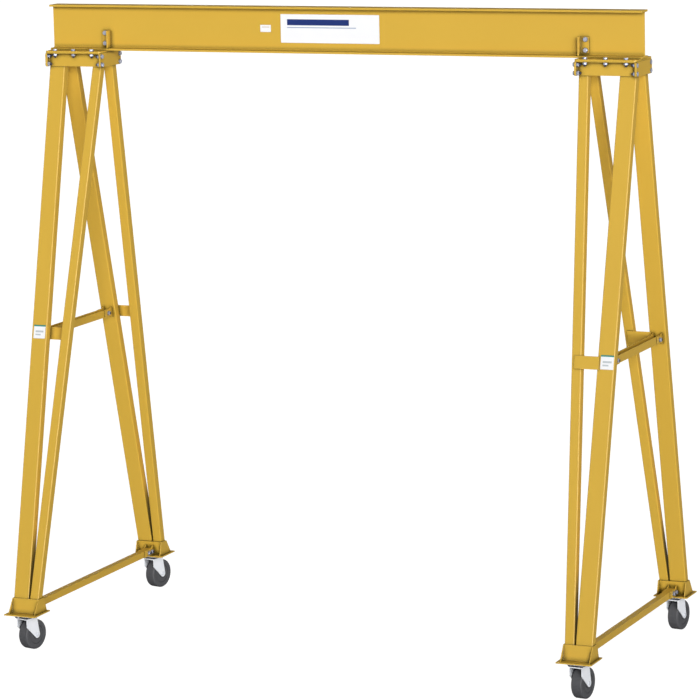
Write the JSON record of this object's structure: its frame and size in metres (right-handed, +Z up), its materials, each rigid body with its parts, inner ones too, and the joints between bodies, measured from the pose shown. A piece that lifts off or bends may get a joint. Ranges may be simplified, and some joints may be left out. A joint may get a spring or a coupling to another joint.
{
  "type": "gantry crane",
  "caption": "Wheeled gantry crane: a steel I-beam on two A-shaped end frames that roll on swivel casters, for a hoist trolley to lift and move loads.",
  "frame": {"origin": "on the floor, under the middle of the beam", "axes": "+Z up from the floor, +X along the beam, +Y across it, from the front legs to the rear legs"},
  "size_m": [4.267, 2.1624, 4.301],
  "materials": {
    "yellow_paint": "satin",
    "caster_metal": "zinc plated",
    "axle_steel": "zinc plated",
    "wheel": "matte"
  },
  "bodies": {
    "crane": {"beam": "yellow_paint", "left_base_plates": "yellow_paint", "left_brace": "yellow_paint", "left_brace_ears": "yellow_paint", "left_end_plates": "yellow_paint", "left_front_foot": "yellow_paint", "left_front_narrow_leg": "yellow_paint", "left_front_pan": "yellow_paint", "left_front_wide_leg": "yellow_paint", "left_mount_plates": "caster_metal", "left_rear_foot": "yellow_paint", "left_rear_narrow_leg": "yellow_paint", "left_rear_pan": "yellow_paint", "left_rear_wide_leg": "yellow_paint", "left_straps": "yellow_paint", "left_tie": "yellow_paint", "left_tie_ears": "yellow_paint", "left_top_plate": "yellow_paint", "right_base_plates": "yellow_paint", "right_brace": "yellow_paint", "right_brace_ears": "yellow_paint", "right_end_plates": "yellow_paint", "right_front_foot": "yellow_paint", "right_front_narrow_leg": "yellow_paint", "right_front_pan": "yellow_paint", "right_front_wide_leg": "yellow_paint", "right_mount_plates": "caster_metal", "right_rear_foot": "yellow_paint", "right_rear_narrow_leg": "yellow_paint", "right_rear_pan": "yellow_paint", "right_rear_wide_leg": "yellow_paint", "right_straps": "yellow_paint", "right_tie": "yellow_paint", "right_tie_ears": "yellow_paint", "right_top_plate": "yellow_paint", "trolley_stops": "yellow_paint"},
    "right_front_caster": {"right_front_fork": "caster_metal", "right_front_axle": "axle_steel"},
    "right_front_roller": {"right_front_wheel": "wheel"},
    "right_rear_caster": {"right_rear_fork": "caster_metal", "right_rear_axle": "axle_steel"},
    "right_rear_roller": {"right_rear_wheel": "wheel"},
    "left_front_caster": {"left_front_fork": "caster_metal", "left_front_axle": "axle_steel"},
    "left_front_roller": {"left_front_wheel": "wheel"},
    "left_rear_caster": {"left_rear_fork": "caster_metal", "left_rear_axle": "axle_steel"},
    "left_rear_roller": {"left_rear_wheel": "wheel"}
  },
  "joints": [
    {"name": "right_front_swivel", "type": "hinge", "parent": "crane", "child": "right_front_caster", "pos_m": [1.989, -0.95115, 0.225], "axis": [0, 0, 1], "continuous": true},
    {"name": "right_front_spin", "type": "hinge", "parent": "right_front_caster", "child": "right_front_roller", "pos_m": [1.99509, -0.90153, 0.1015], "axis": [0.9925, -0.1219, 0], "continuous": true},
    {"name": "right_rear_swivel", "type": "hinge", "parent": "crane", "child": "right_rear_caster", "pos_m": [1.989, 0.95115, 0.225], "axis": [0, 0, 1], "continuous": true},
    {"name": "right_rear_spin", "type": "hinge", "parent": "right_rear_caster", "child": "right_rear_roller", "pos_m": [1.99509, 1.00078, 0.1015], "axis": [0.9925, -0.1219, 0], "continuous": true},
    {"name": "left_front_swivel", "type": "hinge", "parent": "crane", "child": "left_front_caster", "pos_m": [-1.989, -0.95115, 0.225], "axis": [0, 0, 1], "continuous": true},
    {"name": "left_front_spin", "type": "hinge", "parent": "left_front_caster", "child": "left_front_roller", "pos_m": [-1.97818, -0.90234, 0.1015], "axis": [0.9763, -0.2164, 0], "continuous": true},
    {"name": "left_rear_swivel", "type": "hinge", "parent": "crane", "child": "left_rear_caster", "pos_m": [-1.989, 0.95115, 0.225], "axis": [0, 0, 1], "continuous": true},
    {"name": "left_rear_spin", "type": "hinge", "parent": "left_rear_caster", "child": "left_rear_roller", "pos_m": [-1.97818, 0.99997, 0.1015], "axis": [0.9763, -0.2164, 0], "continuous": true}
  ]
}
